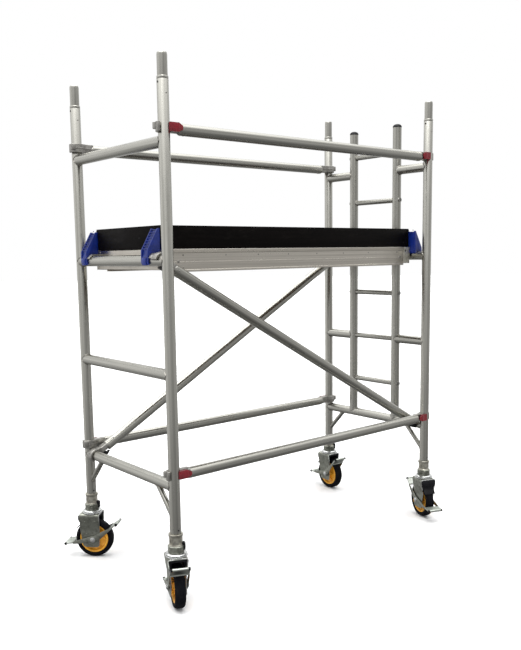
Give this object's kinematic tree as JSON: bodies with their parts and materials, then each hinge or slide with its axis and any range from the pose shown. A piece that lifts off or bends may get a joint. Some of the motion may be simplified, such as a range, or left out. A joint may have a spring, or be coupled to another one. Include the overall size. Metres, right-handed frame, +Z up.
{
  "type": "mobile tower scaffold",
  "caption": "Mobile aluminium access tower with ladder end frame, braces, trapdoor platform with toe boards, and braked swivel castors.",
  "frame": {"origin": "on the floor, under the middle of the object's bounding box at rest", "axes": "+X along the tower from the plain end frame to the ladder frame, +Y across it to the back, +Z up"},
  "size_m": [2.0127, 1.0914, 2.416],
  "materials": {
    "frame_tube": "mill finish with drawn streaks",
    "brace": "mill finish tube with cast claws",
    "platform_extrusion": "extruded, satin",
    "castor_steel": "bright zinc plated",
    "trigger": "moulded red plastic",
    "diagonal_trigger": "moulded black plastic",
    "blue_clip": "moulded royal blue plastic",
    "stile_cap": "moulded black plastic",
    "deck_ply": "phenolic film faced plywood",
    "toe_board": "phenolic film faced plywood, satin",
    "wheel_core": "moulded orange-yellow",
    "tyre": "black rubber"
  },
  "bodies": {
    "tower": {"standard_front_left": "frame_tube", "standard_front_right": "frame_tube", "standard_back_left": "frame_tube", "standard_back_right": "frame_tube", "left_ledger_bottom": "frame_tube", "left_ledger_middle": "frame_tube", "left_ledger_platform": "frame_tube", "left_ledger_top": "frame_tube", "ladder_frame": "frame_tube", "stile_cap_front": "stile_cap", "stile_cap_back": "stile_cap", "guardrail_front": "brace", "guardrail_back": "brace", "base_brace_front": "brace", "base_brace_back": "brace", "diagonal_brace_front": "brace", "diagonal_brace_back": "brace", "platform_frame": "platform_extrusion", "platform_deck": "deck_ply", "toe_board_front": "toe_board", "toe_board_back": "toe_board", "toe_board_left": "toe_board", "toe_board_right": "toe_board", "toe_board_clip_front_left": "blue_clip", "castor_front_left_stem": "castor_steel", "toe_board_clip_front_right": "blue_clip", "castor_front_right_stem": "castor_steel", "toe_board_clip_back_left": "blue_clip", "castor_back_left_stem": "castor_steel", "toe_board_clip_back_right": "blue_clip", "castor_back_right_stem": "castor_steel"},
    "castor_front_left_swivel": {"castor_front_left_fork": "castor_steel"},
    "castor_front_left_wheel": {"castor_front_left_wheel_core": "wheel_core", "castor_front_left_tyre": "tyre"},
    "castor_front_left_brake": {"castor_front_left_brake_pedal": "castor_steel"},
    "castor_front_right_swivel": {"castor_front_right_fork": "castor_steel"},
    "castor_front_right_wheel": {"castor_front_right_wheel_core": "wheel_core", "castor_front_right_tyre": "tyre"},
    "castor_front_right_brake": {"castor_front_right_brake_pedal": "castor_steel"},
    "castor_back_left_swivel": {"castor_back_left_fork": "castor_steel"},
    "castor_back_left_wheel": {"castor_back_left_wheel_core": "wheel_core", "castor_back_left_tyre": "tyre"},
    "castor_back_left_brake": {"castor_back_left_brake_pedal": "castor_steel"},
    "castor_back_right_swivel": {"castor_back_right_fork": "castor_steel"},
    "castor_back_right_wheel": {"castor_back_right_wheel_core": "wheel_core", "castor_back_right_tyre": "tyre"},
    "castor_back_right_brake": {"castor_back_right_brake_pedal": "castor_steel"},
    "guardrail_front_trigger_left": {"guardrail_front_trigger_left": "trigger"},
    "guardrail_front_trigger_right": {"guardrail_front_trigger_right": "trigger"},
    "guardrail_back_trigger_left": {"guardrail_back_trigger_left": "trigger"},
    "guardrail_back_trigger_right": {"guardrail_back_trigger_right": "trigger"},
    "base_brace_front_trigger_left": {"base_brace_front_trigger_left": "trigger"},
    "base_brace_front_trigger_right": {"base_brace_front_trigger_right": "trigger"},
    "base_brace_back_trigger_left": {"base_brace_back_trigger_left": "trigger"},
    "base_brace_back_trigger_right": {"base_brace_back_trigger_right": "trigger"},
    "diagonal_brace_front_trigger_left": {"diagonal_brace_front_trigger_left": "diagonal_trigger"},
    "diagonal_brace_front_trigger_right": {"diagonal_brace_front_trigger_right": "diagonal_trigger"},
    "diagonal_brace_back_trigger_left": {"diagonal_brace_back_trigger_left": "diagonal_trigger"},
    "diagonal_brace_back_trigger_right": {"diagonal_brace_back_trigger_right": "diagonal_trigger"},
    "hatch": {"hatch": "deck_ply"}
  },
  "joints": [
    {"name": "castor_front_left_swivel_turn", "type": "hinge", "parent": "tower", "child": "castor_front_left_swivel", "pos_m": [-0.8723, -0.3928, 0.2], "axis": [0, 0, 1], "continuous": true},
    {"name": "castor_front_left_wheel_spin", "type": "hinge", "parent": "castor_front_left_swivel", "child": "castor_front_left_wheel", "pos_m": [-0.87653, -0.40186, 0.1], "axis": [0.9063, -0.4226, 0], "continuous": true},
    {"name": "castor_front_left_brake_rock", "type": "hinge", "parent": "castor_front_left_swivel", "child": "castor_front_left_brake", "pos_m": [-0.87653, -0.40186, 0.1], "axis": [0.9063, -0.4226, 0], "range_deg": [0, 22]},
    {"name": "castor_front_right_swivel_turn", "type": "hinge", "parent": "tower", "child": "castor_front_right_swivel", "pos_m": [0.9137, -0.3928, 0.2], "axis": [0, 0, 1], "continuous": true},
    {"name": "castor_front_right_wheel_spin", "type": "hinge", "parent": "castor_front_right_swivel", "child": "castor_front_right_wheel", "pos_m": [0.91761, -0.3836, 0.1], "axis": [-0.9205, 0.3907, 0], "continuous": true},
    {"name": "castor_front_right_brake_rock", "type": "hinge", "parent": "castor_front_right_swivel", "child": "castor_front_right_brake", "pos_m": [0.91761, -0.3836, 0.1], "axis": [-0.9205, 0.3907, 0], "range_deg": [0, 22]},
    {"name": "castor_back_left_swivel_turn", "type": "hinge", "parent": "tower", "child": "castor_back_left_swivel", "pos_m": [-0.8723, 0.3942, 0.2], "axis": [0, 0, 1], "continuous": true},
    {"name": "castor_back_left_wheel_spin", "type": "hinge", "parent": "castor_back_left_swivel", "child": "castor_back_left_wheel", "pos_m": [-0.86539, 0.38697, 0.1], "axis": [0.723, 0.6909, 0], "continuous": true},
    {"name": "castor_back_left_brake_rock", "type": "hinge", "parent": "castor_back_left_swivel", "child": "castor_back_left_brake", "pos_m": [-0.86539, 0.38697, 0.1], "axis": [0.723, 0.6909, 0], "range_deg": [0, 22]},
    {"name": "castor_back_right_swivel_turn", "type": "hinge", "parent": "tower", "child": "castor_back_right_swivel", "pos_m": [0.9137, 0.3942, 0.2], "axis": [0, 0, 1], "continuous": true},
    {"name": "castor_back_right_wheel_spin", "type": "hinge", "parent": "castor_back_right_swivel", "child": "castor_back_right_wheel", "pos_m": [0.9129, 0.38423, 0.1], "axis": [0.9968, -0.0802, 0], "continuous": true},
    {"name": "castor_back_right_brake_rock", "type": "hinge", "parent": "castor_back_right_swivel", "child": "castor_back_right_brake", "pos_m": [0.9129, 0.38423, 0.1], "axis": [0.9968, -0.0802, 0], "range_deg": [0, 22]},
    {"name": "guardrail_front_trigger_left_slide", "type": "slide", "parent": "tower", "child": "guardrail_front_trigger_left", "axis": [1, 0, 0], "range_m": [0, 0.018], "stiffness_N_per_m": 150, "springref_m": -0.008},
    {"name": "guardrail_front_trigger_right_slide", "type": "slide", "parent": "tower", "child": "guardrail_front_trigger_right", "axis": [-1, 0, 0], "range_m": [0, 0.018], "stiffness_N_per_m": 150, "springref_m": -0.008},
    {"name": "guardrail_back_trigger_left_slide", "type": "slide", "parent": "tower", "child": "guardrail_back_trigger_left", "axis": [1, 0, 0], "range_m": [0, 0.018], "stiffness_N_per_m": 150, "springref_m": -0.008},
    {"name": "guardrail_back_trigger_right_slide", "type": "slide", "parent": "tower", "child": "guardrail_back_trigger_right", "axis": [-1, 0, 0], "range_m": [0, 0.018], "stiffness_N_per_m": 150, "springref_m": -0.008},
    {"name": "base_brace_front_trigger_left_slide", "type": "slide", "parent": "tower", "child": "base_brace_front_trigger_left", "axis": [1, 0, 0], "range_m": [0, 0.018], "stiffness_N_per_m": 150, "springref_m": -0.008},
    {"name": "base_brace_front_trigger_right_slide", "type": "slide", "parent": "tower", "child": "base_brace_front_trigger_right", "axis": [-1, 0, 0], "range_m": [0, 0.018], "stiffness_N_per_m": 150, "springref_m": -0.008},
    {"name": "base_brace_back_trigger_left_slide", "type": "slide", "parent": "tower", "child": "base_brace_back_trigger_left", "axis": [1, 0, 0], "range_m": [0, 0.018], "stiffness_N_per_m": 150, "springref_m": -0.008},
    {"name": "base_brace_back_trigger_right_slide", "type": "slide", "parent": "tower", "child": "base_brace_back_trigger_right", "axis": [-1, 0, 0], "range_m": [0, 0.018], "stiffness_N_per_m": 150, "springref_m": -0.008},
    {"name": "diagonal_brace_front_trigger_left_slide", "type": "slide", "parent": "tower", "child": "diagonal_brace_front_trigger_left", "axis": [0.8725, 0, -0.4885], "range_m": [0, 0.018], "stiffness_N_per_m": 150, "springref_m": -0.008},
    {"name": "diagonal_brace_front_trigger_right_slide", "type": "slide", "parent": "tower", "child": "diagonal_brace_front_trigger_right", "axis": [-0.8725, 0, 0.4885], "range_m": [0, 0.018], "stiffness_N_per_m": 150, "springref_m": -0.008},
    {"name": "diagonal_brace_back_trigger_left_slide", "type": "slide", "parent": "tower", "child": "diagonal_brace_back_trigger_left", "axis": [0.8725, 0, 0.4885], "range_m": [0, 0.018], "stiffness_N_per_m": 150, "springref_m": -0.008},
    {"name": "diagonal_brace_back_trigger_right_slide", "type": "slide", "parent": "tower", "child": "diagonal_brace_back_trigger_right", "axis": [-0.8725, 0, -0.4885], "range_m": [0, 0.018], "stiffness_N_per_m": 150, "springref_m": -0.008},
    {"name": "hatch_hinge", "type": "hinge", "parent": "tower", "child": "hatch", "pos_m": [0.4837, 0.2647, 1.6077], "axis": [-1, 0, 0], "range_deg": [0, 90]}
  ]
}
